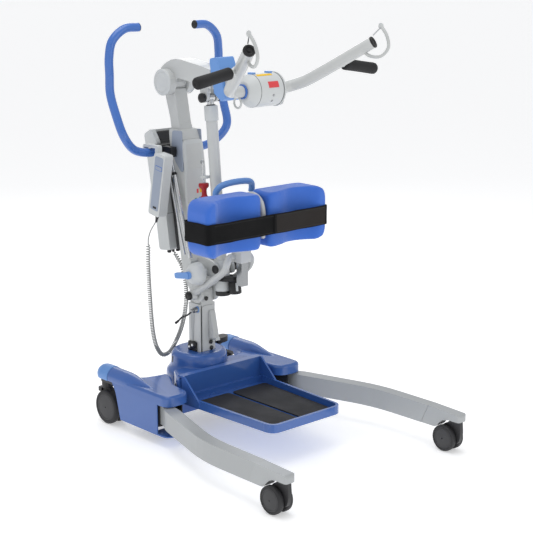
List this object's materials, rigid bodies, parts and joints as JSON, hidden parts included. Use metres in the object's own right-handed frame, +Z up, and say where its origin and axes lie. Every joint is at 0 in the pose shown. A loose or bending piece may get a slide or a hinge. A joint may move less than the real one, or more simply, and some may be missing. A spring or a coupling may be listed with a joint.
{
  "type": "patient lift hoist",
  "caption": "Sit-to-stand patient lift with spreading castored legs, foot tray, knee pads, folding mast, push handles, actuator and boom with two sling arms.",
  "frame": {"origin": "on the floor, under the middle of the bounding box", "axes": "+Z up, -Y towards the leg tips and the patient, +X to the lift's left-hand side as the patient sees it"},
  "size_m": [0.697, 0.92, 1.1599],
  "materials": {
    "blue_cover": "glossy moulded",
    "light_blue_plastic": "satin moulded",
    "blue_paint": "gloss powder coat",
    "grey_paint": "satin powder coat",
    "leg_paint": "satin powder coat",
    "light_grey_plastic": "fine texture",
    "dark_plastic": "satin",
    "wheel_rubber": "matte",
    "mat_rubber": "ribbed matte",
    "grip_foam": "foam",
    "pad_foam": "skinned foam",
    "strap_webbing": "woven webbing",
    "steel": "zinc plated",
    "chassis_steel": "black powder coat",
    "release_red": "gloss",
    "lead_sheath": "smooth PVC"
  },
  "bodies": {
    "base": {"base_frame": "chassis_steel", "side_cover_left": "blue_cover", "side_cover_right": "blue_cover", "arm_cap_left": "light_blue_plastic", "arm_cap_right": "light_blue_plastic", "centre_cover": "blue_cover", "lower_column": "grey_paint"},
    "spread_pedal": {"spread_pedal": "dark_plastic"},
    "column_lever": {"column_lever": "dark_plastic"},
    "foot_tray": {"foot_tray": "blue_cover", "tray_mat_left": "mat_rubber", "tray_mat_right": "mat_rubber"},
    "mast": {"mast_tube": "grey_paint", "mast_cover": "light_grey_plastic", "control_box": "light_grey_plastic", "box_rail": "dark_plastic", "handlebar": "blue_paint", "bar_clamp": "dark_plastic", "handset": "light_grey_plastic", "lock_housing": "light_grey_plastic", "gas_strut": "steel", "knee_frame": "grey_paint", "lead_curl": "lead_sheath", "lead_top": "lead_sheath"},
    "battery": {"battery_pack": "light_grey_plastic"},
    "lock_lever": {"lock_lever": "light_blue_plastic"},
    "knee_pads": {"knee_pad_left": "pad_foam", "knee_pad_right": "pad_foam", "knee_strap": "strap_webbing", "pad_bracket": "steel", "pad_handle": "light_blue_plastic"},
    "actuator": {"actuator_motor": "light_grey_plastic", "actuator_tube": "light_grey_plastic"},
    "actuator_rod": {"actuator_rod": "steel"},
    "emergency_release": {"emergency_release": "release_red"},
    "boom": {"boom_arm": "grey_paint", "boom_bracket": "light_blue_plastic", "spreader_drum": "light_grey_plastic"},
    "release_tab_left": {"release_tab_left": "light_blue_plastic"},
    "release_tab_right": {"release_tab_right": "light_blue_plastic"},
    "sling_arms": {"sling_arm_left": "grey_paint", "sling_arm_right": "grey_paint", "hand_grip_left": "grip_foam", "hand_grip_right": "grip_foam"},
    "hook_gate_left": {"hook_gate_left": "steel"},
    "hook_gate_right": {"hook_gate_right": "steel"},
    "leg_right": {"leg_right": "leg_paint", "leg_cap_right": "leg_paint"},
    "castor_front_right": {"castor_fork_front_right": "dark_plastic"},
    "wheel_front_right": {"castor_wheel_front_right": "wheel_rubber"},
    "castor_rear_right": {"castor_fork_rear_right": "dark_plastic"},
    "wheel_rear_right": {"castor_wheel_rear_right": "wheel_rubber"},
    "brake_rear_right": {"brake_pedal_rear_right": "dark_plastic"},
    "leg_left": {"leg_left": "leg_paint", "leg_cap_left": "leg_paint"},
    "castor_front_left": {"castor_fork_front_left": "dark_plastic"},
    "wheel_front_left": {"castor_wheel_front_left": "wheel_rubber"},
    "castor_rear_left": {"castor_fork_rear_left": "dark_plastic"},
    "wheel_rear_left": {"castor_wheel_rear_left": "wheel_rubber"},
    "brake_rear_left": {"brake_pedal_rear_left": "dark_plastic"}
  },
  "joints": [
    {"name": "leg_right_spread", "type": "hinge", "parent": "base", "child": "leg_right", "pos_m": [0.23, 0.182, 0.089], "axis": [0, 0, 1], "range_deg": [0, 10]},
    {"name": "castor_front_right_swivel", "type": "hinge", "parent": "leg_right", "child": "castor_front_right", "pos_m": [0.3235, -0.44, 0.09], "axis": [0, 0, 1], "continuous": true},
    {"name": "wheel_front_right_roll", "type": "hinge", "parent": "castor_front_right", "child": "wheel_front_right", "pos_m": [0.3235, -0.409, 0.0375], "axis": [1, 0, 0], "continuous": true},
    {"name": "castor_rear_right_swivel", "type": "hinge", "parent": "base", "child": "castor_rear_right", "pos_m": [0.232, 0.422, 0.09], "axis": [0, 0, 1], "continuous": true},
    {"name": "wheel_rear_right_roll", "type": "hinge", "parent": "castor_rear_right", "child": "wheel_rear_right", "pos_m": [0.232, 0.4, 0.05], "axis": [1, 0, 0], "continuous": true},
    {"name": "brake_rear_right_press", "type": "hinge", "parent": "castor_rear_right", "child": "brake_rear_right", "pos_m": [0.232, 0.447, 0.091], "axis": [-1, 0, 0], "range_deg": [0, 12]},
    {"name": "release_tab_right_press", "type": "slide", "parent": "boom", "child": "release_tab_right", "axis": [0, 0, -1], "range_m": [0, 0.003], "stiffness_N_per_m": 400},
    {"name": "hook_gate_right_open", "type": "hinge", "parent": "sling_arms", "child": "hook_gate_right", "pos_m": [0.222, -0.193, 1.132], "axis": [1, 0, 0], "range_deg": [0, 20], "stiffness_Nm_per_rad": 0.02},
    {"name": "leg_left_spread", "type": "hinge", "parent": "base", "child": "leg_left", "pos_m": [-0.23, 0.182, 0.089], "axis": [0, 0, -1], "range_deg": [0, 10]},
    {"name": "castor_front_left_swivel", "type": "hinge", "parent": "leg_left", "child": "castor_front_left", "pos_m": [-0.3235, -0.44, 0.09], "axis": [0, 0, 1], "continuous": true},
    {"name": "wheel_front_left_roll", "type": "hinge", "parent": "castor_front_left", "child": "wheel_front_left", "pos_m": [-0.3235, -0.409, 0.0375], "axis": [1, 0, 0], "continuous": true},
    {"name": "castor_rear_left_swivel", "type": "hinge", "parent": "base", "child": "castor_rear_left", "pos_m": [-0.232, 0.422, 0.09], "axis": [0, 0, 1], "continuous": true},
    {"name": "wheel_rear_left_roll", "type": "hinge", "parent": "castor_rear_left", "child": "wheel_rear_left", "pos_m": [-0.232, 0.4, 0.05], "axis": [1, 0, 0], "continuous": true},
    {"name": "brake_rear_left_press", "type": "hinge", "parent": "castor_rear_left", "child": "brake_rear_left", "pos_m": [-0.232, 0.447, 0.091], "axis": [-1, 0, 0], "range_deg": [0, 12]},
    {"name": "release_tab_left_press", "type": "slide", "parent": "boom", "child": "release_tab_left", "axis": [0, 0, -1], "range_m": [0, 0.003], "stiffness_N_per_m": 400},
    {"name": "hook_gate_left_open", "type": "hinge", "parent": "sling_arms", "child": "hook_gate_left", "pos_m": [-0.222, -0.193, 1.132], "axis": [1, 0, 0], "range_deg": [0, 20], "stiffness_Nm_per_rad": 0.02},
    {"name": "pedal_swing", "type": "hinge", "parent": "base", "child": "spread_pedal", "pos_m": [0, 0.28, 0.19], "axis": [0, 0, 1], "range_deg": [0, 15]},
    {"name": "column_lever_pull", "type": "hinge", "parent": "base", "child": "column_lever", "pos_m": [-0.044, 0.249, 0.335], "axis": [1, 0, 0], "range_deg": [0, 30]},
    {"name": "tray_lift_off", "type": "slide", "parent": "base", "child": "foot_tray", "axis": [0, 0, 1], "range_m": [0, 0.06]},
    {"name": "mast_fold", "type": "hinge", "parent": "base", "child": "mast", "pos_m": [0, 0.251, 0.38], "axis": [1, 0, 0], "range_deg": [0, 65]},
    {"name": "lock_lever_turn", "type": "hinge", "parent": "mast", "child": "lock_lever", "pos_m": [-0.098, 0.207, 0.455], "axis": [1, 0, 0], "range_deg": [0, 70]},
    {"name": "battery_lift_off", "type": "slide", "parent": "mast", "child": "battery", "axis": [0, 0.1705, 0.9854], "range_m": [0, 0.05]},
    {"name": "knee_pad_height", "type": "slide", "parent": "mast", "child": "knee_pads", "axis": [0, 0, 1], "range_m": [0, 0.08]},
    {"name": "boom_lift", "type": "hinge", "parent": "mast", "child": "boom", "pos_m": [0, 0.376, 0.984], "axis": [-1, 0, 0], "range_deg": [0, 45]},
    {"name": "actuator_tilt", "type": "hinge", "parent": "mast", "child": "actuator", "pos_m": [0, 0.1744, 0.47], "axis": [-1, 0, 0], "range_deg": [0, 0.6]},
    {"name": "rod_extend", "type": "slide", "parent": "actuator", "child": "actuator_rod", "axis": [0, 0.0903, 0.9959], "range_m": [0, 0.125]},
    {"name": "emergency_release_pull", "type": "slide", "parent": "actuator", "child": "emergency_release", "axis": [0, 0.0903, 0.9959], "range_m": [0, 0.005], "stiffness_N_per_m": 200},
    {"name": "sling_arm_tilt", "type": "hinge", "parent": "boom", "child": "sling_arms", "pos_m": [0, 0.01, 0.987], "axis": [-1, 0, 0], "range_deg": [-20, 30]}
  ],
  "couplings": [
    {"joint": "leg_left_spread", "follows": "leg_right_spread", "ratio": 1},
    {"joint": "pedal_swing", "follows": "leg_right_spread", "ratio": 1.5},
    {"joint": "actuator_tilt", "follows": "boom_lift", "ratio": 0.012},
    {"joint": "rod_extend", "follows": "boom_lift", "m_per_rad": 0.1566}
  ]
}
